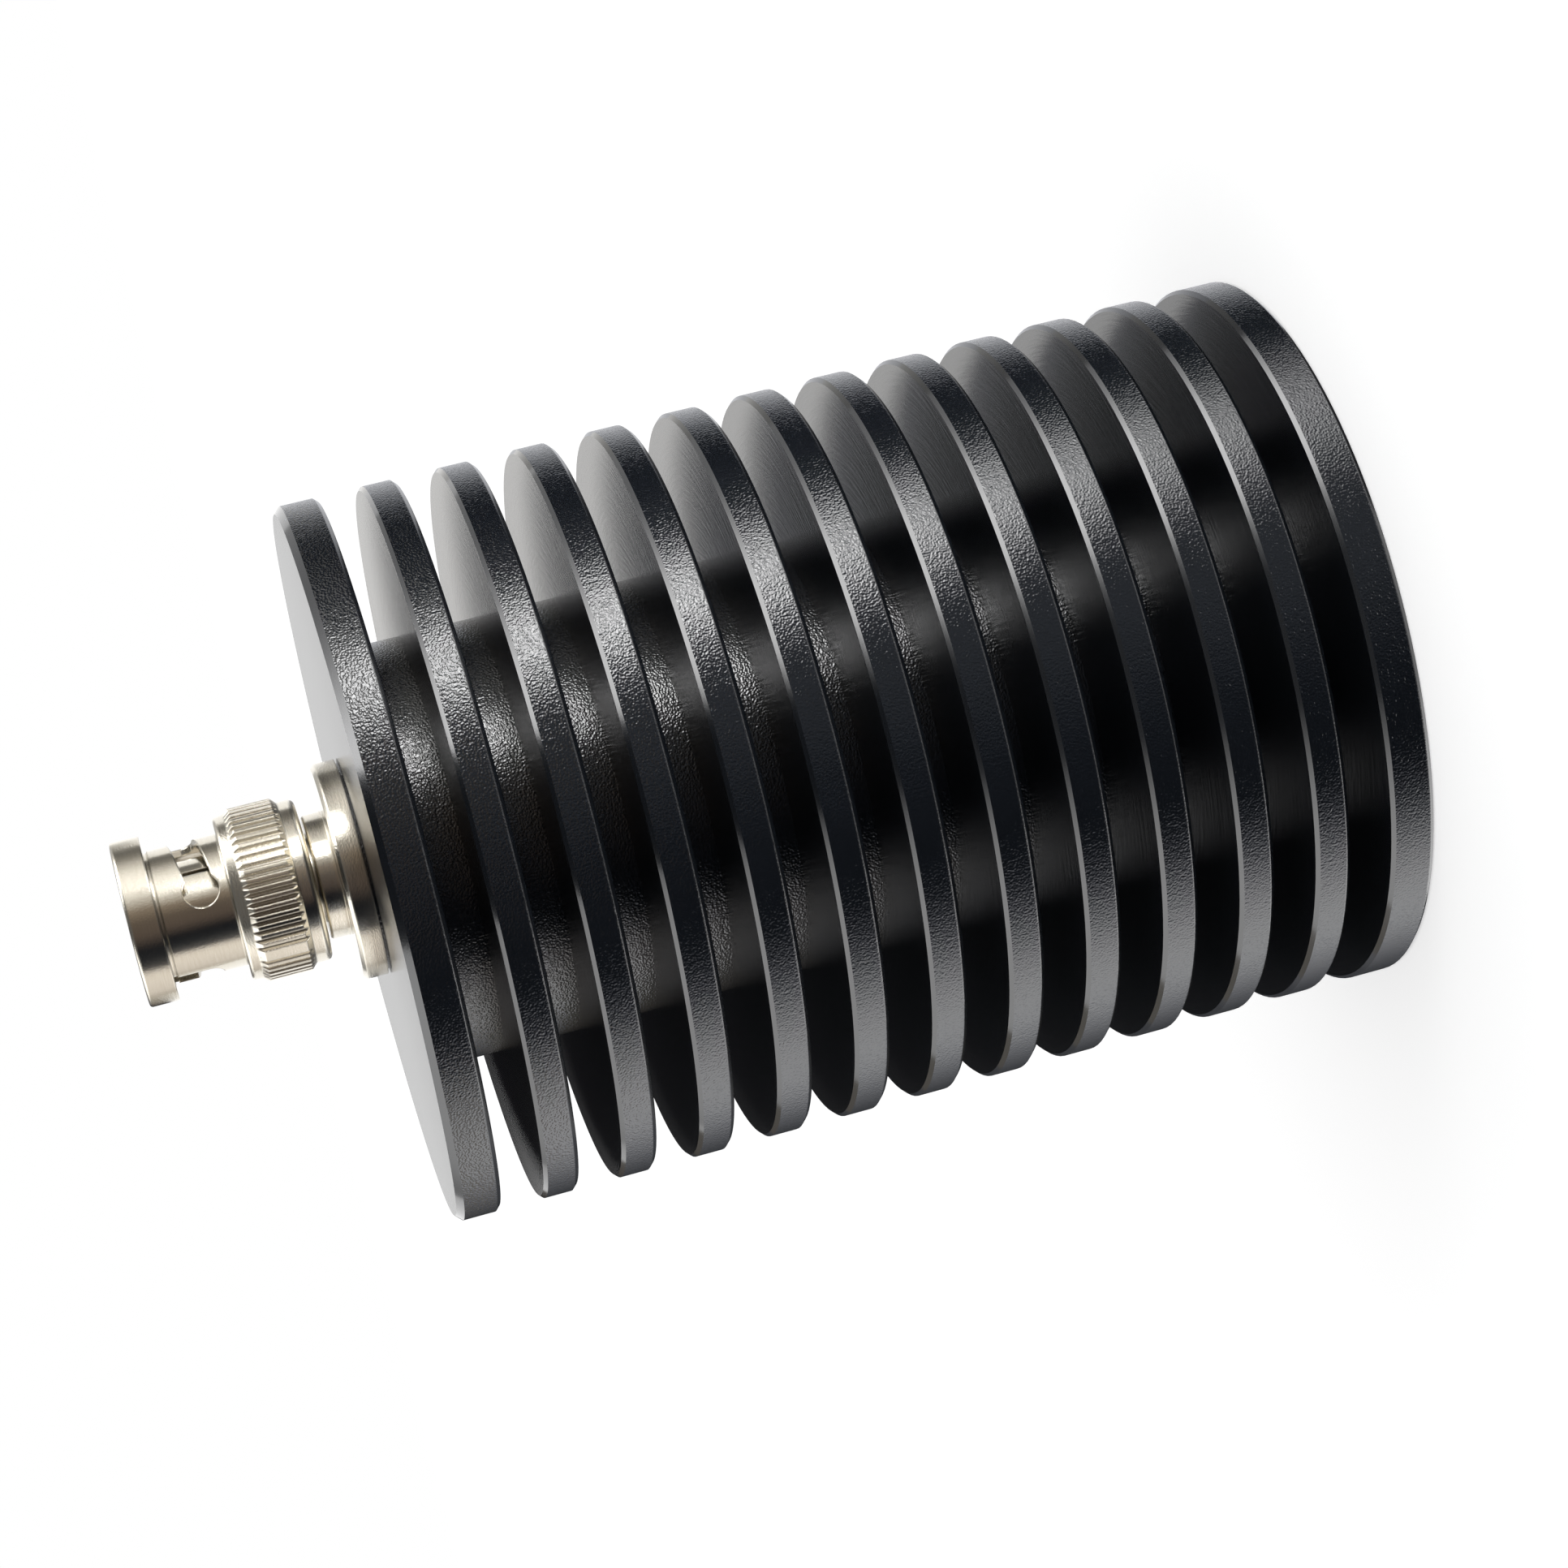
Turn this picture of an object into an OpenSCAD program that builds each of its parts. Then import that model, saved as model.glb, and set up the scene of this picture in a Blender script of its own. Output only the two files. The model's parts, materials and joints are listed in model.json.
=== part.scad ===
// Coaxial dummy load: a turned, finned heatsink with a bayonet plug on its front end.
// It stands on its flat rear end, and +Z runs along its axis, out through the plug.

/* [Heatsink] */
// Diameter over the fins
fin_d = 60; // [54:0.5:66]
// Diameter of the core between the fins
core_d = 35; // [30:0.5:40]
// Number of fins
fin_count = 13; // [12:1:16]
// Thickness of the fins between the two end ones
fin_t = 2.9; // [2.5:0.1:3.5]
// Thickness of the two end fins
end_fin_t = 3.6; // [3:0.1:5]
// Gap between neighbouring fins
fin_gap = 3.5; // [3:0.1:4.5]
// Chamfer on the plug side of a fin's rim
rim_front = 0.3; // [0.1:0.05:0.6]
// Chamfer on the rear side of a fin's rim
rim_rear = 0.35; // [0.1:0.05:0.6]
// Chamfer on the plug side of the first fin's rim
first_rim = 0.55; // [0.2:0.05:0.9]
// Diameter of the blind bore that holds the plug's spigot and the resistor carrier
bore_d = 14.1; // [14.1:0.1:15]
// Depth of the blind bore, to its full diameter
bore_depth = 46; // [45:1:60]
// Height of the seat on the first fin that carries the plug's disc
seat_h = 0.22; // [0.1:0.02:0.4]

/* [Plug body] */
// Diameter of the disc, which stands a little over the seat
disc_d = 18.1; // [17:0.1:20]
// Height of the disc's front face over the fin
disc_t = 2.25; // [2:0.05:2.6]
// Diameter of the neck behind the coupling nut
neck_d = 10.4; // [10:0.1:11.5]
// Height of the neck's front face over the fin
neck_top = 3.95; // [3.6:0.05:4]
// Diameter of the journal that the coupling nut turns on
journal_d = 7.5; // [7.4:0.05:7.6]
// Length of the spigot that goes into the heatsink
spigot_len = 6; // [4:0.5:6]

/* [Coupling nut] */
// Height of the nut's rear face over the fin
nut_rear = 4.2; // [4.2:0.05:4.4]
// Length of the nut
nut_len = 15.2; // [15:0.1:16]
// Diameter of the bore that takes the mating socket
nut_bore_d = 9.8; // [9.7:0.05:9.9]
// Diameter of the plain ring behind the knurl
rear_ring_d = 13.54; // [13.2:0.02:13.7]
// Diameter over the knurl
knurl_d = 14.46; // [14.2:0.02:14.8]
// Number of knurl teeth
knurl_teeth = 57; // [40:1:60]
// Depth of the grooves between the knurl teeth
groove_depth = 0.33; // [0.1:0.01:0.33]
// Diameter of the slotted sleeve
sleeve_d = 11; // [10.9:0.05:11.2]
// Diameter of the front ring
front_ring_d = 13.7; // [13.2:0.05:14.2]
// Length of the front ring
front_ring_len = 2.45; // [2:0.05:2.8]

/* [Bayonet slots] */
// Width of the ramp and of the entry groove
slot_w = 2.2; // [2.1:0.05:2.4]
// Diameter of the round hole in which the socket's stud snaps home
detent_d = 2.95; // [2.6:0.05:3.1]
// Height of the detent hole over the nut's rear face
detent_height = 8.98; // [8.8:0.02:9.1]
// Turn from the detent hole to the entry groove
slot_turn = 87.7; // [80:0.1:95]
// Height of the ramp's upper end over the detent hole
ramp_rise = 0.9; // [0.6:0.05:1.2]

/* [Contacts and insulators] */
// Diameter of the centre pin
pin_d = 1.35; // [1.3:0.01:1.4]
// Diameter of the pin inside its insulators
pin_root_d = 2.1; // [2:0.05:2.3]
// Outside diameter of the insulators
insulator_d = 5.2; // [5:0.1:5.4]
// Outside diameter of the outer contact
contact_d = 8.1; // [8.05:0.05:8.1]
// Height of the outer contact's tip over the fin
contact_tip = 15.2; // [14.5:0.1:15.5]
// Wall of the outer contact
contact_wall = 0.55; // [0.4:0.05:0.6]
// Number of fingers of the outer contact
fingers = 4; // [2:1:6]

/* [Resistor] */
// Length of the carrier's half-round tongue
tongue_len = 33; // [26:1:33]
// Length of the ceramic chip
chip_len = 9.5; // [8:0.5:12]
// Width of the ceramic chip
chip_w = 6.4; // [5:0.2:8]
// Thickness of the ceramic chip
chip_t = 1; // [0.6:0.1:1.5]
// Thickness of the tab that joins the chip to the pin
tab_t = 0.2; // [0.1:0.05:0.3]

/* [Hidden] */
$fn = 96;
over = 1;
running = 0.08;
gap = 0.05;

black_anodised = "#1c1d21";
nickel = "#cbc7ba";
spring_steel = "#9a9c9e";
silicone = "#b5533c";
ptfe = "#f1f0ea";
gold = "#d5a94a";
copper = "#b87650";
ceramic = "#e8e6df";
silver = "#d9dadb";

fin_r = fin_d / 2;
core_r = core_d / 2;
heatsink_len = 2 * end_fin_t + (fin_count - 2) * fin_t + (fin_count - 1) * fin_gap;
drill_angle = 118;
drill_point_h = bore_d / 2 / tan(drill_angle / 2);

// Heights from here on count from the first fin's front face.
seat_r = disc_d / 2 - 0.4;
disc_chamfer = 0.3;
spigot_d = 14;
spigot_chamfer = 0.4;
neck_chamfer = 0.15;
lip_r = journal_d / 2 + running;
lip_t = 1;
lip_top = nut_rear + lip_t;
washer_inner_r = journal_d / 2 + 2 * gap;
washer_outer_r = nut_bore_d / 2 - 3 * gap;
washer_low = lip_top + gap;
washer_t = 0.3;
wave_low = washer_low + washer_t + gap;
wave_h = 0.75;
wave_t = 0.2;
wave_crests = 3;
wave_steps = 60;
ring_low = wave_low + wave_h + gap;
ring_t = 0.6;
ring_inner_r = journal_d / 2 - 0.35;
ring_split = 1.6;
ring_groove_r = ring_inner_r - gap;
collar_low = ring_low + ring_t + gap;
gasket_low = collar_low + 2 * gap;
gasket_h = 1.1;
collar_top = gasket_low + gasket_h + gap;
gasket_outer_r = nut_bore_d / 2 - 2 * gap;
gasket_round = 0.25;
nose_r = contact_d / 2 - contact_wall;
nose_top = collar_top + 1.2;
bead_head_t = 0.8;
bead_face = nose_top + bead_head_t;
bead_joint = 3;
pin_collar_d = 3.2;
pin_collar_t = 1;
pin_tip = contact_tip - 0.3;
pin_tip_round = pin_d / 2;
pin_tail = -13;
finger_slot_w = 0.4;
finger_root = nose_top + 0.3;
tip_chamfer = 0.25;

nut_front = nut_rear + nut_len;
knurl_low = 6.05;
knurl_high = 9.55;
knurl_phase = -91.6;
groove_top_w = 0.44;
groove_bottom_w = 0.16;
rear_round = 0.5;
shoulder_low_r = knurl_d / 2 - groove_depth;
shoulder_low = 10;
shoulder_high_r = 6.5;
shoulder_round = 0.3;
shoulder_high = 10.95;
undercut_w = 0.3;
undercut_d = 0.12;
ring_edge = 0.25;
mouth_chamfer = 0.3;
ring_rear = nut_front - front_ring_len;
stud_reach_r = 5.75;
cutter_low_r = nut_bore_d / 2 - over;
cutter_len = 4;
detent_z = nut_rear + detent_height;
detent_phi = -75.3;
ramp_lead = 13;
ramp_step = 4;

carrier_head_t = 3;
carrier_d = 14;
carrier_top = -spigot_len;
tongue_top = carrier_top - carrier_head_t;
air_line_r = 2.2;
tab_y = pin_root_d / 2;
chip_y = tab_y + tab_t;
flat_y = chip_y + chip_t;
chip_top = tongue_top - 6;
cover_len = 5.2;
cover_w = 5.6;
cover_t = 0.8;
cover_top = chip_top - 3.6;
tab_w = 1.6;
tab_top = -10.5;
tab_low = chip_top - 2.6;
screw_d = 2;
screw_x = 4.5;
screw_y = -1.6;
screw_clearance_d = 2.2;
screw_hole_depth = 2.8;
screw_len = carrier_head_t + 2.5;
screw_head_d = 3.6;
screw_head_h = 1.4;
screw_socket_d = 1.7;
screw_socket_h = 0.8;

// Places of the fins, counted up from the rear one.
function fin_low(i) = i == 0 ? 0 : end_fin_t + fin_gap + (i - 1) * (fin_t + fin_gap);
function fin_high(i) = fin_low(i) + (i == 0 || i == fin_count - 1 ? end_fin_t : fin_t);
function fin_outline(i) =
    let (front = i == fin_count - 1 ? first_rim : rim_front)
    [
        [core_r, fin_low(i)],
        [fin_r - rim_rear, fin_low(i)],
        [fin_r, fin_low(i) + rim_rear],
        [fin_r, fin_high(i) - front],
        [fin_r - front, fin_high(i)],
        [core_r, fin_high(i)]
    ];

// Points of a round corner in a profile, from one angle to another.
function corner(centre, r, from, to, steps = 5) =
    [for (k = [0:steps]) centre + r * [cos(from + (to - from) * k / steps), sin(from + (to - from) * k / steps)]];

module on_fin() {
    translate([0, 0, heatsink_len])
        children();
}

module ring(inner_r, outer_r, low, height) {
    translate([0, 0, low])
        difference() {
            cylinder(r = outer_r, h = height);
            translate([0, 0, -over])
                cylinder(r = inner_r, h = height + 2 * over);
        }
}

// The place of one of the two screws that hold the resistor carrier to the spigot.
module screw_place(side) {
    translate([side * screw_x, screw_y, 0])
        children();
}

// A cutter that points outward from inside the nut's bore, at an angle and a height.
module radial_cutter(d, angle, z) {
    rotate(angle)
        translate([cutter_low_r, 0, z])
            rotate([0, 90, 0])
                cylinder(d = d, h = cutter_len);
}

module heatsink() {
    color(black_anodised)
        difference() {
            rotate_extrude()
                polygon(concat(
                    [[0, 0]],
                    [for (i = [0:fin_count - 1]) each fin_outline(i)],
                    [
                        [seat_r, heatsink_len],
                        [seat_r, heatsink_len + seat_h],
                        [0, heatsink_len + seat_h]
                    ]
                ));
            translate([0, 0, heatsink_len - bore_depth])
                cylinder(d = bore_d, h = bore_depth + over);
            translate([0, 0, heatsink_len - bore_depth - drill_point_h])
                cylinder(d1 = 0, d2 = bore_d, h = drill_point_h);
        }
}

// The plug body's turned form, before the screw holes are drilled.
module plug_blank() {
    rotate_extrude()
        polygon([
            [insulator_d / 2, -spigot_len],
            [spigot_d / 2 - spigot_chamfer, -spigot_len],
            [spigot_d / 2, spigot_chamfer - spigot_len],
            [spigot_d / 2, seat_h],
            [disc_d / 2, seat_h],
            [disc_d / 2, disc_t - disc_chamfer],
            [disc_d / 2 - disc_chamfer, disc_t],
            [neck_d / 2, disc_t],
            [neck_d / 2, neck_top - neck_chamfer],
            [neck_d / 2 - neck_chamfer, neck_top],
            [journal_d / 2, neck_top],
            [journal_d / 2, ring_low - gap],
            [ring_groove_r, ring_low - gap],
            [ring_groove_r, collar_low],
            [journal_d / 2, collar_low],
            [journal_d / 2, collar_top],
            [nose_r, collar_top],
            [nose_r, nose_top],
            [insulator_d / 2, nose_top]
        ]);
}

module plug_body() {
    color(nickel)
        on_fin()
            difference() {
                plug_blank();
                for (side = [-1, 1])
                    screw_place(side)
                        translate([0, 0, -spigot_len - over])
                            cylinder(d = screw_d, h = screw_hole_depth + over);
            }
}

// The nut's turned form, before the knurl and the slots are cut.
module nut_blank() {
    rotate_extrude()
        polygon(concat(
            [[lip_r, nut_rear]],
            corner([rear_ring_d / 2 - rear_round, nut_rear + rear_round], rear_round, -90, 0),
            [
                [rear_ring_d / 2, knurl_low - (knurl_d - rear_ring_d) / 2],
                [knurl_d / 2, knurl_low],
                [knurl_d / 2, knurl_high],
                [shoulder_low_r, shoulder_low]
            ],
            corner([shoulder_high_r, shoulder_high - shoulder_round], shoulder_round, 0, 90),
            [
                [sleeve_d / 2, shoulder_high],
                [sleeve_d / 2, ring_rear - undercut_w],
                [sleeve_d / 2 - undercut_d, ring_rear - undercut_w],
                [sleeve_d / 2 - undercut_d, ring_rear],
                [front_ring_d / 2, ring_rear]
            ],
            corner([front_ring_d / 2 - ring_edge, nut_front - ring_edge], ring_edge, 0, 90),
            [
                [nut_bore_d / 2 + mouth_chamfer, nut_front],
                [nut_bore_d / 2, nut_front - mouth_chamfer],
                [nut_bore_d / 2, lip_top],
                [lip_r, lip_top]
            ]
        ));
}

module knurl_grooves() {
    for (i = [0:knurl_teeth - 1])
        rotate(knurl_phase + i * 360 / knurl_teeth)
            translate([0, 0, nut_rear + over])
                linear_extrude(shoulder_low - nut_rear - over)
                    polygon([
                        [knurl_d / 2 - groove_depth, -groove_bottom_w / 2],
                        [knurl_d / 2 + groove_depth, groove_bottom_w / 2 - groove_top_w],
                        [knurl_d / 2 + groove_depth, groove_top_w - groove_bottom_w / 2],
                        [knurl_d / 2 - groove_depth, groove_bottom_w / 2]
                    ]);
}

// One slot: the detent hole, the ramp as the path of a milling cutter, and the entry groove
// that runs forward under the front ring.
module bayonet_slot() {
    ramp_turn = slot_turn - ramp_lead;
    radial_cutter(detent_d, detent_phi, detent_z);
    for (turn = [0:ramp_step:ramp_turn])
        radial_cutter(slot_w, detent_phi + ramp_lead + turn, detent_z + ramp_rise * turn / ramp_turn);
    radial_cutter(slot_w, detent_phi + slot_turn, detent_z + ramp_rise);
    rotate(detent_phi + slot_turn)
        translate([cutter_low_r, -slot_w / 2, detent_z + ramp_rise])
            cube([stud_reach_r - cutter_low_r, slot_w, nut_front]);
}

module coupling_nut() {
    color(nickel)
        on_fin()
            difference() {
                nut_blank();
                knurl_grooves();
                for (side = [0, 180])
                    rotate(side)
                        bayonet_slot();
            }
}

module flat_washer() {
    color(spring_steel)
        on_fin()
            ring(washer_inner_r, washer_outer_r, washer_low, washer_t);
}

// Height of the wave washer's underside at an angle.
function wave(angle) = wave_low + (wave_h - wave_t) * (1 - cos(wave_crests * angle)) / 2;

module wave_washer() {
    sections = [
        for (k = [0:wave_steps - 1])
            let (a = 360 * k / wave_steps, z = wave(a))
            [
                [washer_inner_r * cos(a), washer_inner_r * sin(a), z],
                [washer_outer_r * cos(a), washer_outer_r * sin(a), z],
                [washer_outer_r * cos(a), washer_outer_r * sin(a), z + wave_t],
                [washer_inner_r * cos(a), washer_inner_r * sin(a), z + wave_t]
            ]
    ];
    color(spring_steel)
        on_fin()
            polyhedron(
                points = [for (s = sections) each s],
                faces = [
                    for (k = [0:wave_steps - 1], j = [0:3])
                        let (here = 4 * k, next = 4 * ((k + 1) % wave_steps), side = (j + 1) % 4)
                        [here + j, here + side, next + side, next + j]
                ]
            );
}

module retaining_ring() {
    color(spring_steel)
        on_fin()
            difference() {
                ring(ring_inner_r, washer_outer_r, ring_low, ring_t);
                translate([0, -ring_split / 2, ring_low - over])
                    cube([nut_bore_d, ring_split, ring_t + 2 * over]);
            }
}

module gasket() {
    color(silicone)
        on_fin()
            rotate_extrude()
                polygon(concat(
                    [[journal_d / 2, gasket_low]],
                    corner([gasket_outer_r - gasket_round, gasket_low + gasket_round], gasket_round, -90, 0),
                    corner([gasket_outer_r - gasket_round, gasket_low + gasket_h - gasket_round], gasket_round, 0, 90),
                    [[journal_d / 2, gasket_low + gasket_h]]
                ));
}

module outer_contact() {
    color(nickel)
        on_fin()
            difference() {
                rotate_extrude()
                    polygon([
                        [nose_r, collar_top],
                        [contact_d / 2, collar_top],
                        [contact_d / 2, contact_tip - tip_chamfer],
                        [contact_d / 2 - tip_chamfer, contact_tip],
                        [nose_r, contact_tip]
                    ]);
                for (i = [0:fingers - 1])
                    rotate(45 + i * 360 / fingers)
                        translate([0, -finger_slot_w / 2, finger_root])
                            cube([contact_d, finger_slot_w, contact_tip]);
            }
}

module front_insulator() {
    color(ptfe)
        on_fin()
            rotate_extrude()
                polygon([
                    [pin_collar_d / 2, bead_joint],
                    [insulator_d / 2, bead_joint],
                    [insulator_d / 2, nose_top],
                    [nose_r - gap, nose_top],
                    [nose_r - gap, bead_face],
                    [pin_root_d / 2, bead_face],
                    [pin_root_d / 2, bead_joint + pin_collar_t],
                    [pin_collar_d / 2, bead_joint + pin_collar_t]
                ]);
}

module rear_insulator() {
    color(ptfe)
        on_fin()
            ring(pin_root_d / 2, insulator_d / 2, -spigot_len, spigot_len + bead_joint);
}

module centre_pin() {
    color(gold)
        on_fin()
            rotate_extrude()
                polygon(concat(
                    [
                        [0, pin_tail],
                        [pin_root_d / 2, pin_tail],
                        [pin_root_d / 2, bead_joint],
                        [pin_collar_d / 2, bead_joint],
                        [pin_collar_d / 2, bead_joint + pin_collar_t],
                        [pin_root_d / 2, bead_joint + pin_collar_t],
                        [pin_root_d / 2, bead_face],
                        [pin_d / 2, bead_face]
                    ],
                    corner([0, pin_tip - pin_tip_round], pin_tip_round, 0, 90)
                ));
}

module resistor_carrier() {
    color(copper)
        on_fin()
            difference() {
                union() {
                    translate([0, 0, tongue_top])
                        cylinder(d = carrier_d, h = carrier_head_t);
                    intersection() {
                        translate([0, 0, tongue_top - tongue_len])
                            cylinder(d = carrier_d, h = tongue_len + carrier_head_t / 2);
                        translate([-carrier_d / 2, flat_y, tongue_top - tongue_len])
                            cube([carrier_d, carrier_d, tongue_len + carrier_head_t / 2]);
                    }
                }
                translate([0, 0, tongue_top - over])
                    cylinder(r = air_line_r, h = carrier_head_t + 2 * over);
                for (side = [-1, 1])
                    screw_place(side)
                        translate([0, 0, tongue_top - over])
                            cylinder(d = screw_clearance_d, h = carrier_head_t + 2 * over);
            }
}

module carrier_screw(side) {
    color(spring_steel)
        on_fin()
            screw_place(side)
                difference() {
                    union() {
                        translate([0, 0, tongue_top])
                            cylinder(d = screw_d, h = screw_len);
                        translate([0, 0, tongue_top - screw_head_h])
                            cylinder(d = screw_head_d, h = screw_head_h);
                    }
                    translate([0, 0, tongue_top - screw_head_h - over])
                        cylinder(d = screw_socket_d, h = screw_socket_h + over, $fn = 6);
                }
}

module resistor_chip() {
    color(ceramic)
        on_fin()
            translate([-chip_w / 2, chip_y, chip_top - chip_len])
                cube([chip_w, chip_t, chip_len]);
}

module resistor_cover() {
    color(ceramic)
        on_fin()
            translate([-cover_w / 2, chip_y - cover_t, cover_top - cover_len])
                cube([cover_w, cover_t, cover_len]);
}

module resistor_tab() {
    color(silver)
        on_fin()
            translate([-tab_w / 2, tab_y, tab_low])
                cube([tab_w, tab_t, tab_top - tab_low]);
}

heatsink();
plug_body();
coupling_nut();
flat_washer();
wave_washer();
retaining_ring();
gasket();
outer_contact();
front_insulator();
rear_insulator();
centre_pin();
resistor_carrier();
carrier_screw(-1);  // carrier_screw_1
carrier_screw(1);  // carrier_screw_2
resistor_chip();
resistor_cover();
resistor_tab();
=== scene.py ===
"""Looks of a coaxial dummy load: a black finned heatsink with a bayonet plug, in a tent of light."""

import json
import math
import bpy
import bmesh
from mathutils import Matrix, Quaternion, Vector


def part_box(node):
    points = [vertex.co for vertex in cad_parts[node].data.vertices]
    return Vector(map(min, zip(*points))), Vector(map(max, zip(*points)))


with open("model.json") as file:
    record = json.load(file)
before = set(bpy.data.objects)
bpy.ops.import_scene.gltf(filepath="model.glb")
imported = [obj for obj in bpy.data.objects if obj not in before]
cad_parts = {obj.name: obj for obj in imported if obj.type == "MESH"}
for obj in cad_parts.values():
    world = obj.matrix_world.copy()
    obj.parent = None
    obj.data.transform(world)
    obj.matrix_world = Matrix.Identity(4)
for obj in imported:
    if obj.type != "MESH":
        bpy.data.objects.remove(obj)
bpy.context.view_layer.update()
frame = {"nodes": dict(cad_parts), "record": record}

MM = 0.001

# The camera looks a little down on the standing load and is rolled, so that the load lies across the picture.
CAMERA_AT = Vector((-1.93, -304.06, 94.49)) * MM
CAMERA_AIM = Vector((-2.13, 0, 45.68)) * MM
CAMERA_ROLL = -104.47
LENS = 84.95
SENSOR = 36

# Tubes of card stand round the load, one over the other, closed by a card at each end. Angles round the
# axis count from the camera's side towards +X, which is up in the picture. A tube has its lowest and
# highest level, its glow and its shades by angle.
TENT_R = 250 * MM
TENT_STEPS = 180
TENTS = {
    # The rims' rear edges mirror the foot.
    "foot": (-600 * MM, -160 * MM, 3.6, (
        (-180, "#202020"),
        (-120, "#e0e0e0"),
        (-90, "#f4f4f4"),
        (-64, "#d8d8d8"),
        (-48, "#b4b4b4"),
        (-32, "#8a8a8a"),
        (-16, "#8a8a8a"),
        (0, "#b0b0b0"),
        (60, "#c8c8c8"),
        (100, "#c8c8c8"),
        (124, "#202020"),
    )),
    # The rims and the core mirror the lower wall.
    "lower_wall": (-160 * MM, 72 * MM, 2.4, (
        (-180, "#101113"),
        (-164, "#1c1e20"),
        (-144, "#46474a"),
        (-128, "#848589"),
        (-112, "#d8d9db"),
        (-96, "#f4f4f5"),
        (-80, "#dedee0"),
        (-64, "#74767b"),
        (-50, "#0a0c10"),
        (-30, "#0a0c10"),
        (-12, "#202227"),
        (0, "#3a3c40"),
        (20, "#4c4e52"),
        (84, "#3c3e42"),
        (100, "#18191c"),
        (120, "#18191c"),
        (132, "#7a7c80"),
        (146, "#a0a1a4"),
        (160, "#a0a1a4"),
        (176, "#808184"),
    )),
    # The plug and the fin faces mirror the upper wall.
    "upper_wall": (72 * MM, 150 * MM, 1.9, (
        (-180, "#121214"),
        (-166, "#121214"),
        (-150, "#58544f"),
        (-128, "#86827a"),
        (-112, "#b4afab"),
        (-90, "#c0bbb7"),
        (-78, "#c1bcb7"),
        (-72, "#aeaaa6"),
        (-66, "#343436"),
        (-52, "#16181c"),
        (-37, "#121418"),
        (-18, "#473f3a"),
        (0, "#4e463f"),
        (16, "#6f655a"),
        (34, "#b8b6b2"),
        (48, "#dedcd9"),
        (66, "#dedcd9"),
        (80, "#b9b7b3"),
        (98, "#706e6a"),
        (112, "#535250"),
        (128, "#777673"),
        (144, "#a6a5a2"),
        (156, "#d4d3d1"),
    )),
    # The rims' front chamfers mirror the crown.
    "crown": (150 * MM, 1000 * MM, 10, (
        (-180, "#202020"),
        (-152, "#2b2b2b"),
        (-142, "#404040"),
        (-132, "#636363"),
        (-122, "#737373"),
        (-112, "#7c7c7c"),
        (-100, "#868686"),
        (-86, "#868686"),
        (-74, "#787878"),
        (-60, "#555555"),
        (-45, "#202020"),
        (36, "#202020"),
        (50, "#4a4a4a"),
        (60, "#848484"),
        (68, "#bcbcbc"),
        (76, "#d0d0d0"),
        (92, "#d0d0d0"),
        (100, "#acacac"),
        (108, "#7c7c7c"),
        (116, "#5a5a5a"),
        (124, "#4a4a4a"),
        (150, "#434343"),
    )),
}
BASE_GLOW = 0.8
TOP_GLOW = 0.02
# The lamp is a leaning strip with soft sides. Each end has its height, the angle of its middle, its half
# width and its glow.
LAMP_R = 240 * MM
LAMP_LOW = (-110 * MM, 71.5, 34, 1.3)
LAMP_HIGH = (76 * MM, 47.5, 18, 15.5)
LAMP_STEPS = 12
# The card behind the plug has its half width, its distance from the axis, its height and its glow.
PLUG_CARD_X = 60 * MM
PLUG_CARD_Y = 36 * MM
PLUG_CARD_H = 18 * MM
PLUG_CARD_GLOW = 1.25
FLOOR_R = 4
FLOOR_STEPS = 64
# What the floor adds to its paint for the eye alone, and the room's light on the load and the floor.
FLOOR_GLOW = 0.48
DIFFUSE_WORLD = 0.7


def linear(hex_colour):
    """The linear red, green, blue and alpha of an sRGB hex colour."""
    channels = [int(hex_colour[i:i + 2], 16) / 255 for i in (1, 3, 5)]
    return [c / 12.92 if c <= 0.04045 else ((c + 0.055) / 1.055) ** 2.4 for c in channels] + [1]


def add(tree, kind, sockets=None, **settings):
    """A node with its settings. A socket's name or number maps to a value, a node or a node's output."""
    made = tree.nodes.new(kind)
    for name, value in settings.items():
        setattr(made, name, value)
    for key, value in (sockets or {}).items():
        if isinstance(value, bpy.types.Node):
            value = value.outputs[0]
        if isinstance(value, bpy.types.NodeSocket):
            tree.links.new(value, made.inputs[key])
        else:
            made.inputs[key].default_value = value
    return made


def new_material(name):
    """An empty material, its node tree and the point of the surface in the load's own frame."""
    made = bpy.data.materials.new(name)
    made.use_nodes = True
    made.node_tree.nodes.clear()
    return made, made.node_tree, add(made.node_tree, "ShaderNodeTexCoord").outputs["Object"]


def shade(tree, **sockets):
    """The shader of a material. Words in a socket's name are joined by underscores."""
    named = {name.replace("_", " "): value for name, value in sockets.items()}
    shader = add(tree, "ShaderNodeBsdfPrincipled", named)
    add(tree, "ShaderNodeOutputMaterial", {"Surface": shader})


def noise(tree, point, size, detail=2):
    """Noise whose marks have the given lengths along the three axes."""
    scaled = add(tree, "ShaderNodeVectorMath", {0: point, 1: size}, operation="DIVIDE")
    return add(tree, "ShaderNodeTexNoise", {"Vector": scaled, "Scale": 1, "Detail": detail})


def blend(tree, factor, low, high):
    """A colour between two, by a factor."""
    mixed = add(
        tree, "ShaderNodeMix", {"Factor": factor, "A": linear(low), "B": linear(high)}, data_type="RGBA"
    )
    return mixed.outputs["Result"]


def distance_from_axis(tree, point):
    """The point's place across the axis, and its distance from it."""
    across = add(tree, "ShaderNodeVectorMath", {0: point, 1: (1, 1, 0)}, operation="MULTIPLY")
    return across, add(tree, "ShaderNodeVectorMath", {0: across}, operation="LENGTH").outputs["Value"]


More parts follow.
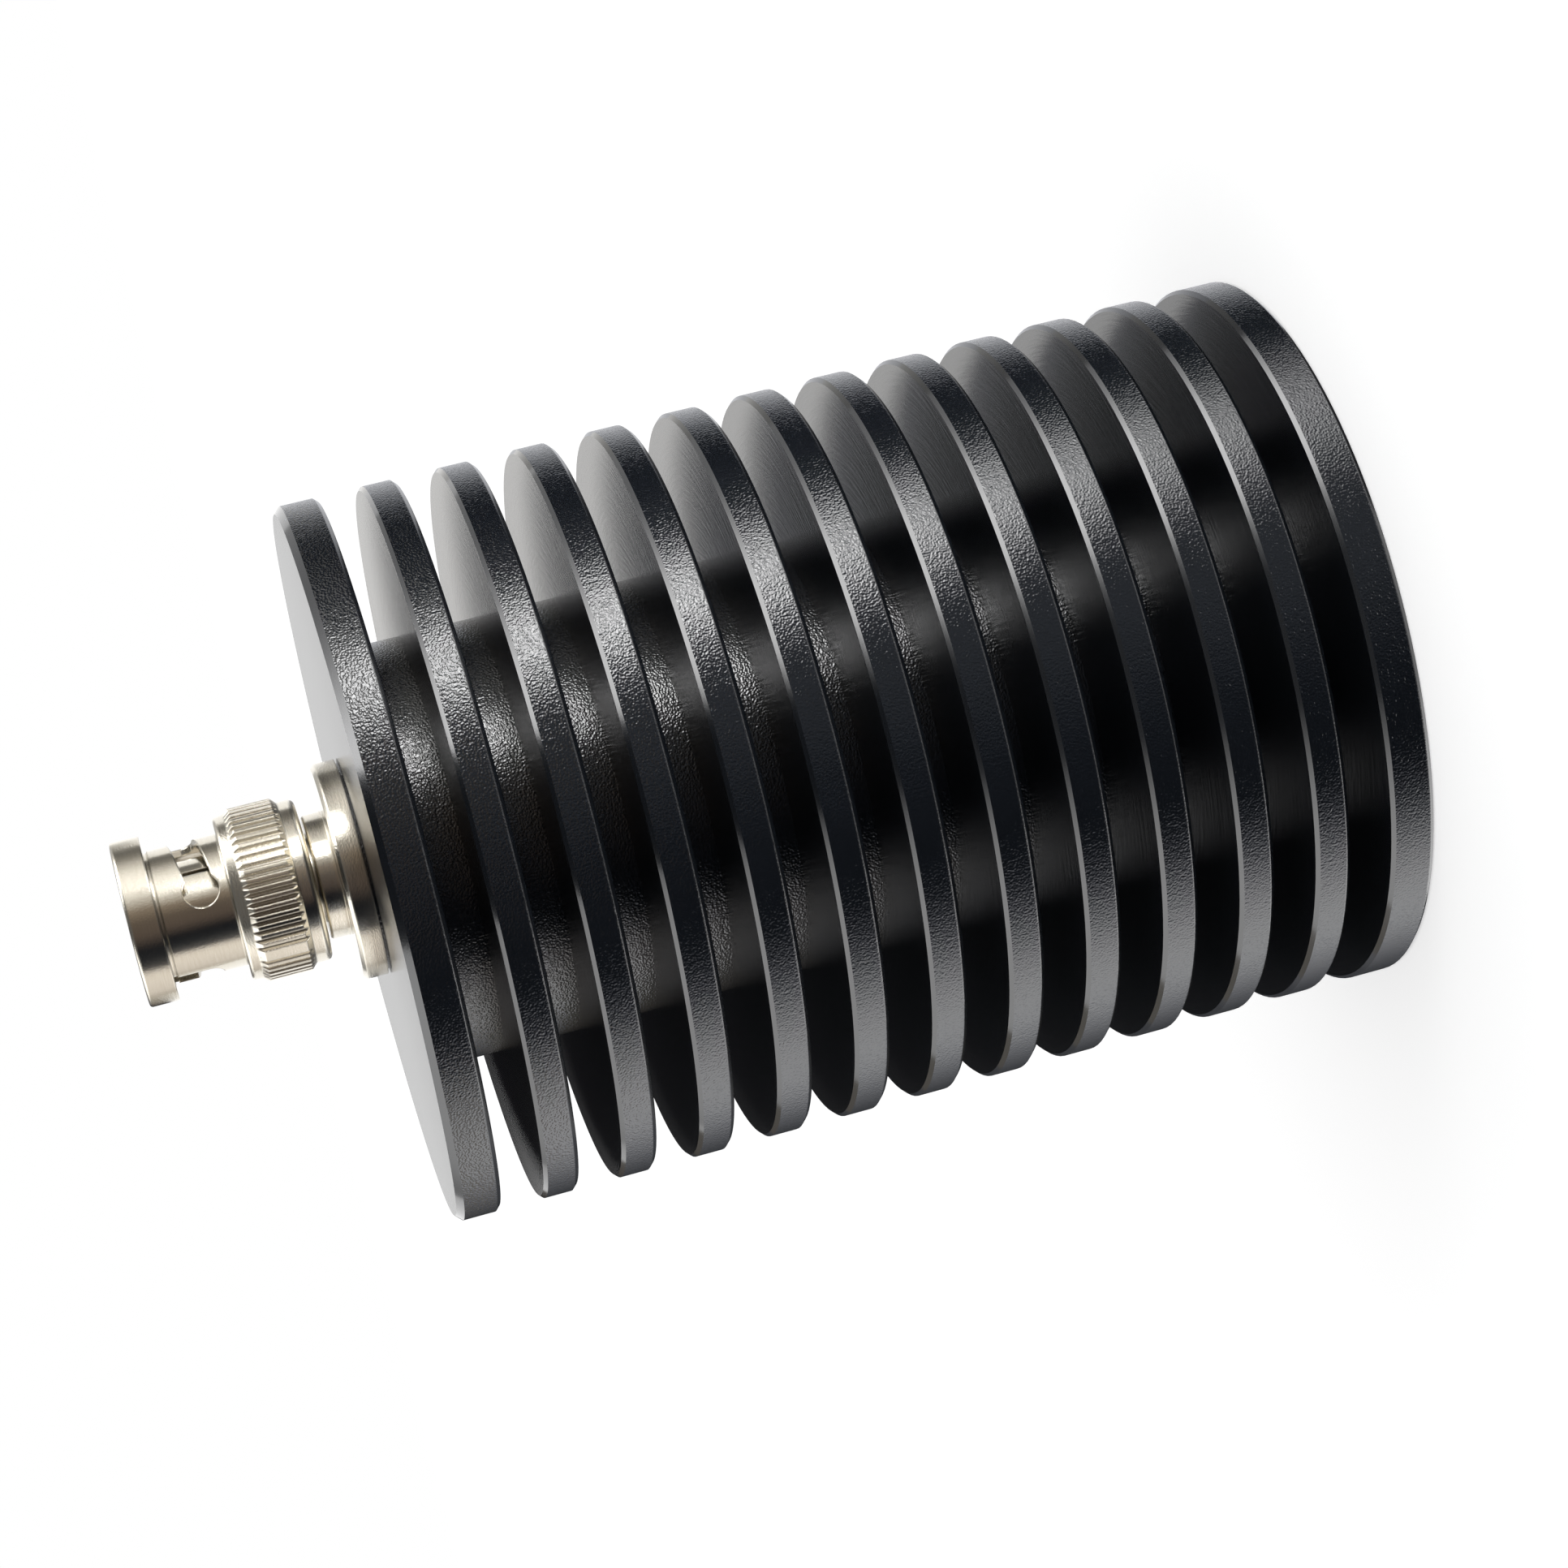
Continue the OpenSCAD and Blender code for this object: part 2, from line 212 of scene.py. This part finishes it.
def turning_marks(tree, point, width, spread):
    """Noise drawn out along the lathe's tool path: rings on flat faces and hoops on round ones. Spread is
    how far the noise runs for each turn, so a larger one breaks the marks up more often."""
    across, radius = distance_from_axis(tree, point)
    height = add(tree, "ShaderNodeSeparateXYZ", {0: point}).outputs["Z"]
    travel = add(tree, "ShaderNodeMath", {0: radius, 1: height}, operation="ADD")
    passes = add(tree, "ShaderNodeMath", {0: travel, 1: width}, operation="DIVIDE")
    towards = add(tree, "ShaderNodeVectorMath", {0: across}, operation="NORMALIZE")
    sweep = add(tree, "ShaderNodeVectorMath", {0: towards, 3: spread}, operation="SCALE")
    lift = add(tree, "ShaderNodeCombineXYZ", {2: passes})
    path = add(tree, "ShaderNodeVectorMath", {0: sweep, 1: lift}, operation="ADD")
    return add(tree, "ShaderNodeTexNoise", {"Vector": path, "Scale": 1, "Detail": 3})


def black_anodised_aluminium():
    """Bar turned to fins, blasted on rims and core, dyed black and sealed. The eye sees a blue-black film
    that sparkles with grain on the rims, and fin faces that mirror pale light through turning marks."""
    made, tree, point = new_material("black_anodised_aluminium_turned_and_blasted")
    # Both the blasting's grain and the tool's marks are drawn about twice as coarse as they are, to show.
    grain_size = 0.17 * MM
    grain_depth = 0.036 * MM
    mark_width = 0.3 * MM
    mark_depth = 0.03 * MM
    edge_round = 0.2 * MM
    mottle_size = 3 * MM
    # A normal's share along the axis is 0 on rims and core, 0.7 on chamfers and 1 on fin faces.
    rims_end = 0.3
    chamfers_start = 0.6
    chamfers_end = 0.85
    faces_start = 0.95
    grain_left_on_faces = 0.02
    flat = add(tree, "ShaderNodeNewGeometry").outputs["Normal"]
    along = add(tree, "ShaderNodeSeparateXYZ", {0: flat}).outputs["Z"]
    upright = add(tree, "ShaderNodeMath", {0: along}, operation="ABSOLUTE")
    face = add(
        tree, "ShaderNodeMapRange", {"Value": upright, "From Min": chamfers_end, "From Max": faces_start}
    )
    blasted = add(
        tree, "ShaderNodeMapRange",
        {
            "Value": upright, "From Min": rims_end, "From Max": chamfers_start,
            "To Min": 1, "To Max": grain_left_on_faces
        }
    )
    marks = turning_marks(tree, point, mark_width, spread=5)
    # The rims' rear edges are rounded off and their front chamfers stay crisp.
    edges = add(tree, "ShaderNodeBevel", {"Radius": edge_round}, samples=4)
    limit = add(tree, "ShaderNodeCombineXYZ", {0: 1, 1: 1, 2: along})
    backwards = add(tree, "ShaderNodeVectorMath", {0: edges, 1: limit}, operation="MINIMUM")
    front = add(tree, "ShaderNodeMath", {0: along, 1: rims_end}, operation="GREATER_THAN")
    # A mix of vectors takes its two sides at sockets 4 and 5 and gives the result at 1.
    rounded = add(tree, "ShaderNodeMix", {0: front, 4: backwards, 5: flat}, data_type="VECTOR").outputs[1]
    marks_bump = add(
        tree, "ShaderNodeBump", {"Strength": face, "Distance": mark_depth, "Height": marks, "Normal": rounded}
    )
    grain = noise(tree, point, [grain_size] * 3, detail=0)
    bump = add(
        tree, "ShaderNodeBump",
        {"Strength": blasted, "Distance": grain_depth, "Height": grain, "Normal": marks_bump}
    )
    film = blend(tree, noise(tree, point, [mottle_size] * 3, detail=3), "#0e1115", "#14171c")
    roughness = add(tree, "ShaderNodeMapRange", {"Value": face, "To Min": 0.12, "To Max": 0.24})
    shade(tree, Base_Color=film, Roughness=roughness, IOR=1.76, Normal=bump)
    return made


def nickel_plated_brass():
    """Turned brass under bright nickel: a warm pale silver with the tool's fine hoops and a satin grain."""
    made, tree, point = new_material("nickel_plated_brass_turned")
    grain_size = 0.14 * MM
    grain_depth = 0.006 * MM
    mark_width = 0.09 * MM
    mark_depth = 0.002 * MM
    edge_round = 0.2 * MM
    marks = turning_marks(tree, point, mark_width, spread=3)
    edges = add(tree, "ShaderNodeBevel", {"Radius": edge_round}, samples=4)
    marks_bump = add(tree, "ShaderNodeBump", {"Distance": mark_depth, "Height": marks, "Normal": edges})
    grain = noise(tree, point, [grain_size] * 3)
    bump = add(tree, "ShaderNodeBump", {"Distance": grain_depth, "Height": grain, "Normal": marks_bump})
    tone = blend(tree, marks, "#cfc8b9", "#ddd8cc")
    roughness = add(tree, "ShaderNodeMapRange", {"Value": grain, "To Min": 0.1, "To Max": 0.2})
    shade(tree, Base_Color=tone, Metallic=1, Roughness=roughness, Normal=bump)
    return made


def spring_steel():
    """Strip rolled hard and bright: a cool grey with faint streaks along the rolling and a soft shine."""
    made, tree, point = new_material("spring_steel_rolled")
    streak_size = (3 * MM, 0.05 * MM, 0.05 * MM)
    streak_depth = 0.001 * MM
    streaks = noise(tree, point, streak_size)
    bump = add(tree, "ShaderNodeBump", {"Distance": streak_depth, "Height": streaks})
    tone = blend(tree, streaks, "#a6a8ab", "#bcbec0")
    roughness = add(tree, "ShaderNodeMapRange", {"Value": streaks, "To Min": 0.22, "To Max": 0.36})
    shade(tree, Base_Color=tone, Metallic=1, Roughness=roughness, Normal=bump)
    return made


def silicone():
    """Rubber from a fine mould: brick red and dull, with a bloom that softens its shine."""
    made, tree, point = new_material("silicone_moulded")
    skin_size = 0.12 * MM
    skin_depth = 0.004 * MM
    mottle_size = 1.2 * MM
    skin = noise(tree, point, [skin_size] * 3)
    bump = add(tree, "ShaderNodeBump", {"Distance": skin_depth, "Height": skin})
    tone = blend(tree, noise(tree, point, [mottle_size] * 3, detail=3), "#a94a35", "#bc5d45")
    roughness = add(tree, "ShaderNodeMapRange", {"Value": skin, "To Min": 0.5, "To Max": 0.65})
    shade(tree, Base_Color=tone, Roughness=roughness, IOR=1.41, Sheen_Weight=0.15, Normal=bump)
    return made


def ptfe():
    """White fluoropolymer cut on the lathe: milky and waxy, with fine rings and light that soaks in."""
    made, tree, point = new_material("ptfe_turned")
    mark_width = 0.12 * MM
    mark_depth = 0.004 * MM
    soak = 0.4 * MM
    marks = turning_marks(tree, point, mark_width, spread=4)
    bump = add(tree, "ShaderNodeBump", {"Distance": mark_depth, "Height": marks})
    tone = blend(tree, marks, "#ebe9e2", "#f3f1eb")
    roughness = add(tree, "ShaderNodeMapRange", {"Value": marks, "To Min": 0.32, "To Max": 0.45})
    shade(
        tree, Base_Color=tone, Roughness=roughness, IOR=1.38, Normal=bump,
        Subsurface_Weight=0.4, Subsurface_Radius=(1, 0.95, 0.9), Subsurface_Scale=soak
    )
    return made


def gold_plated_brass():
    """Turned brass under hard gold: a warm yellow mirror with the tool's fine hoops."""
    made, tree, point = new_material("gold_plated_brass_turned")
    mark_width = 0.06 * MM
    mark_depth = 0.0015 * MM
    marks = turning_marks(tree, point, mark_width, spread=3)
    bump = add(tree, "ShaderNodeBump", {"Distance": mark_depth, "Height": marks})
    tone = blend(tree, marks, "#d9a94c", "#e6bd66")
    roughness = add(tree, "ShaderNodeMapRange", {"Value": marks, "To Min": 0.12, "To Max": 0.22})
    shade(tree, Base_Color=tone, Metallic=1, Roughness=roughness, Normal=bump)
    return made


def copper():
    """Bare bar milled flat: salmon metal with straight cutter lines and a brown breath of tarnish."""
    made, tree, point = new_material("copper_milled")
    line_size = (4 * MM, 4 * MM, 0.12 * MM)
    line_depth = 0.003 * MM
    tarnish_size = 2.5 * MM
    lines = noise(tree, point, line_size)
    bump = add(tree, "ShaderNodeBump", {"Distance": line_depth, "Height": lines})
    tarnish = noise(tree, point, [tarnish_size] * 3, detail=4)
    tone = blend(tree, tarnish, "#a86a48", "#cf9470")
    roughness = add(tree, "ShaderNodeMapRange", {"Value": tarnish, "To Min": 0.38, "To Max": 0.22})
    shade(tree, Base_Color=tone, Metallic=1, Roughness=roughness, Normal=bump)
    return made


def ceramic():
    """Alumina fired matt: chalky white, faintly speckled with pores, with a dry sheen."""
    made, tree, point = new_material("alumina_ceramic_fired")
    pore_size = 0.08 * MM
    pore_depth = 0.003 * MM
    pores = noise(tree, point, [pore_size] * 3, detail=3)
    bump = add(tree, "ShaderNodeBump", {"Distance": pore_depth, "Height": pores})
    tone = blend(tree, pores, "#dedbd2", "#efede6")
    roughness = add(tree, "ShaderNodeMapRange", {"Value": pores, "To Min": 0.45, "To Max": 0.6})
    shade(tree, Base_Color=tone, Roughness=roughness, IOR=1.76, Normal=bump)
    return made


def silver_plated_copper():
    """Strip rolled thin and silver plated: a soft white metal with lines along its length."""
    made, tree, point = new_material("silver_plated_copper_rolled")
    line_size = (0.05 * MM, 0.05 * MM, 3 * MM)
    line_depth = 0.0015 * MM
    lines = noise(tree, point, line_size)
    bump = add(tree, "ShaderNodeBump", {"Distance": line_depth, "Height": lines})
    tone = blend(tree, lines, "#dad9d4", "#ebeae6")
    roughness = add(tree, "ShaderNodeMapRange", {"Value": lines, "To Min": 0.18, "To Max": 0.32})
    shade(tree, Base_Color=tone, Metallic=1, Roughness=roughness, Normal=bump)
    return made


def make_camera():
    """The camera at the photograph's place, with its roll."""
    data = bpy.data.cameras.new("camera")
    data.lens = LENS
    data.sensor_width = SENSOR
    data.clip_start = 10 * MM
    data.clip_end = 10
    camera = bpy.data.objects.new("camera", data)
    bpy.context.scene.collection.objects.link(camera)
    level = (CAMERA_AIM - CAMERA_AT).to_track_quat("-Z", "Y")
    camera.location = CAMERA_AT
    camera.rotation_mode = "QUATERNION"
    camera.rotation_quaternion = level @ Quaternion((0, 0, 1), math.radians(CAMERA_ROLL))
    bpy.context.scene.camera = camera


def shown_as_background(tree):
    """1 for rays from the camera, mirrors and glass, and 0 for the rays that light the object."""
    path = add(tree, "ShaderNodeLightPath")
    sharp = add(
        tree, "ShaderNodeMath",
        {0: path.outputs["Is Camera Ray"], 1: path.outputs["Is Glossy Ray"]}, operation="MAXIMUM"
    )
    return add(
        tree, "ShaderNodeMath",
        {0: sharp, 1: path.outputs["Is Transmission Ray"]}, operation="MAXIMUM"
    )


def make_world():
    """White behind the object and in its reflections, and a dimmer light on it from all round."""
    world = bpy.data.worlds.new("white_room")
    world.use_nodes = True
    tree = world.node_tree
    tree.nodes.clear()
    white = add(tree, "ShaderNodeBackground", {"Color": linear("#ffffff"), "Strength": 1})
    dim = add(tree, "ShaderNodeBackground", {"Color": linear("#ffffff"), "Strength": DIFFUSE_WORLD})
    seen = add(tree, "ShaderNodeMixShader", {0: shown_as_background(tree), 1: dim, 2: white})
    add(tree, "ShaderNodeOutputWorld", {"Surface": seen})
    bpy.context.scene.world = world


def stage_piece(name, form, finish):
    """A mesh of the stage from a bmesh form, with its finish."""
    mesh = bpy.data.meshes.new(name)
    form.to_mesh(mesh)
    form.free()
    mesh.materials.append(finish)
    piece = bpy.data.objects.new(name, mesh)
    bpy.context.scene.collection.objects.link(piece)
    return piece


def make_floor():
    """A white floor under the load's flat end. It takes the load's shadow and isn't mirrored in it."""
    finish, tree, _ = new_material("white_card")
    paint = add(tree, "ShaderNodeBsdfDiffuse", {"Color": linear("#ececec")})
    glow = add(tree, "ShaderNodeEmission", {"Color": linear("#ffffff"), "Strength": FLOOR_GLOW})
    bright = add(tree, "ShaderNodeAddShader", {0: paint, 1: glow})
    seen = add(tree, "ShaderNodeMixShader", {0: shown_as_background(tree), 1: paint, 2: bright})
    add(tree, "ShaderNodeOutputMaterial", {"Surface": seen})
    form = bmesh.new()
    bmesh.ops.create_circle(form, cap_ends=True, segments=FLOOR_STEPS, radius=FLOOR_R)
    floor = stage_piece("floor", form, finish)
    floor.visible_glossy = False
    floor.visible_shadow = False


def only_mirrored(card):
    """Leave a card to reflections: the camera doesn't see it, and it neither lights nor shades anything."""
    card.visible_camera = False
    card.visible_diffuse = False
    card.visible_shadow = False


def angle_round_axis(tree, point):
    """The point's angle round the axis, from the camera's side towards +X."""
    parts = add(tree, "ShaderNodeSeparateXYZ", {0: point})
    towards_camera = add(tree, "ShaderNodeMath", {0: parts.outputs["Y"], 1: -1}, operation="MULTIPLY")
    return add(tree, "ShaderNodeMath", {0: parts.outputs["X"], 1: towards_camera}, operation="ARCTAN2")


def make_tent(name, low, high, strength, light):
    """A tube of card round the load that glows dark and pale by turns, which shiny parts mirror."""
    finish, tree, point = new_material(name)
    angle = angle_round_axis(tree, point)
    share = add(tree, "ShaderNodeMapRange", {"Value": angle, "From Min": -math.pi, "From Max": math.pi})
    ramp = add(tree, "ShaderNodeValToRGB", {0: share})
    stops = ramp.color_ramp.elements
    while len(stops) < len(light):
        stops.new(1)
    for stop, (degrees, colour) in zip(stops, light):
        stop.position = (degrees + 180) / 360
        stop.color = linear(colour)
    glow = add(tree, "ShaderNodeEmission", {"Color": ramp, "Strength": strength})
    add(tree, "ShaderNodeOutputMaterial", {"Surface": glow})
    form = bmesh.new()
    bmesh.ops.create_cone(
        form, cap_ends=False, segments=TENT_STEPS, radius1=TENT_R, radius2=TENT_R, depth=high - low
    )
    bmesh.ops.translate(form, verts=form.verts, vec=(0, 0, (high + low) / 2))
    only_mirrored(stage_piece(name, form, finish))


def make_end(name, height, strength):
    """A card that closes the tubes at one end."""
    finish, tree, _ = new_material(name)
    glow = add(tree, "ShaderNodeEmission", {"Color": linear("#ffffff"), "Strength": strength})
    add(tree, "ShaderNodeOutputMaterial", {"Surface": glow})
    form = bmesh.new()
    bmesh.ops.create_circle(form, cap_ends=True, segments=TENT_STEPS, radius=TENT_R)
    bmesh.ops.translate(form, verts=form.verts, vec=(0, 0, height))
    only_mirrored(stage_piece(name, form, finish))


def at_angle(radius, degrees, height):
    """A point at an angle round the axis, from the camera's side towards +X."""
    turn = math.radians(degrees)
    return radius * math.sin(turn), -radius * math.cos(turn), height


def make_plug_card():
    """A pale card behind the plug, which the first fin's face mirrors."""
    finish, tree, _ = new_material("plug_card")
    glow = add(tree, "ShaderNodeEmission", {"Color": linear("#ffffff"), "Strength": PLUG_CARD_GLOW})
    add(tree, "ShaderNodeOutputMaterial", {"Surface": glow})
    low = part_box("heatsink")[1].z
    high = low + PLUG_CARD_H
    corners = [(-PLUG_CARD_X, low), (PLUG_CARD_X, low), (PLUG_CARD_X, high), (-PLUG_CARD_X, high)]
    form = bmesh.new()
    form.faces.new([form.verts.new((x, PLUG_CARD_Y, z)) for x, z in corners])
    only_mirrored(stage_piece("plug_card", form, finish))


def make_lamp():
    """The lamp that lights the load and gives the rims and the core their bright band."""
    finish, tree, point = new_material("lamp")
    height = add(tree, "ShaderNodeSeparateXYZ", {0: point}).outputs["Z"]
    low, low_turn, low_half, low_glow = LAMP_LOW
    high, high_turn, high_half, high_glow = LAMP_HIGH

    def by_height(at_low, at_high):
        span = {"Value": height, "From Min": low, "From Max": high, "To Min": at_low, "To Max": at_high}
        return add(tree, "ShaderNodeMapRange", span)

    middle = by_height(math.radians(low_turn), math.radians(high_turn))
    half = by_height(math.radians(low_half), math.radians(high_half))
    aside = add(tree, "ShaderNodeMath", {0: angle_round_axis(tree, point), 1: middle}, operation="SUBTRACT")
    share = add(tree, "ShaderNodeMath", {0: aside, 1: half}, operation="DIVIDE")
    to_side = add(tree, "ShaderNodeMath", {0: share}, operation="ABSOLUTE")
    rise = add(tree, "ShaderNodeMath", {0: high_glow / low_glow, 1: by_height(0, 1)}, operation="POWER")
    peak = add(tree, "ShaderNodeMath", {0: rise, 1: low_glow}, operation="MULTIPLY")
    strength = add(
        tree, "ShaderNodeMapRange", {"Value": to_side, "To Min": peak, "To Max": 0},
        interpolation_type="SMOOTHSTEP"
    )
    glow = add(tree, "ShaderNodeEmission", {"Color": linear("#ffffff"), "Strength": strength})
    clear = add(tree, "ShaderNodeBsdfTransparent")
    seen = add(tree, "ShaderNodeAddShader", {0: glow, 1: clear})
    add(tree, "ShaderNodeOutputMaterial", {"Surface": seen})
    form = bmesh.new()
    shares = [2 * step / LAMP_STEPS - 1 for step in range(LAMP_STEPS + 1)]
    lows = [form.verts.new(at_angle(LAMP_R, low_turn + low_half * share, low)) for share in shares]
    highs = [form.verts.new(at_angle(LAMP_R, high_turn + high_half * share, high)) for share in shares]
    for a, b, c, d in zip(lows, lows[1:], highs[1:], highs):
        form.faces.new((a, b, c, d))
    stage_piece("lamp", form, finish).visible_camera = False


make_camera()
make_world()
make_floor()
for name, tent in TENTS.items():
    make_tent(name, *tent)
make_end("base_card", TENTS["foot"][0], BASE_GLOW)
make_end("top_card", TENTS["crown"][1], TOP_GLOW)
make_plug_card()
make_lamp()

finishes = {
    "black_anodised_aluminium": black_anodised_aluminium(),
    "nickel_plated_brass": nickel_plated_brass(),
    "spring_steel": spring_steel(),
    "silicone": silicone(),
    "ptfe": ptfe(),
    "gold_plated_brass": gold_plated_brass(),
    "copper": copper(),
    "ceramic": ceramic(),
    "silver_plated_copper": silver_plated_copper(),
}
for part in frame["record"]["subparts"]:
    frame["nodes"][part["node"]].material_slots[0].material = finishes[part["material_slot"]]

bpy.context.scene.view_settings.view_transform = "Standard"
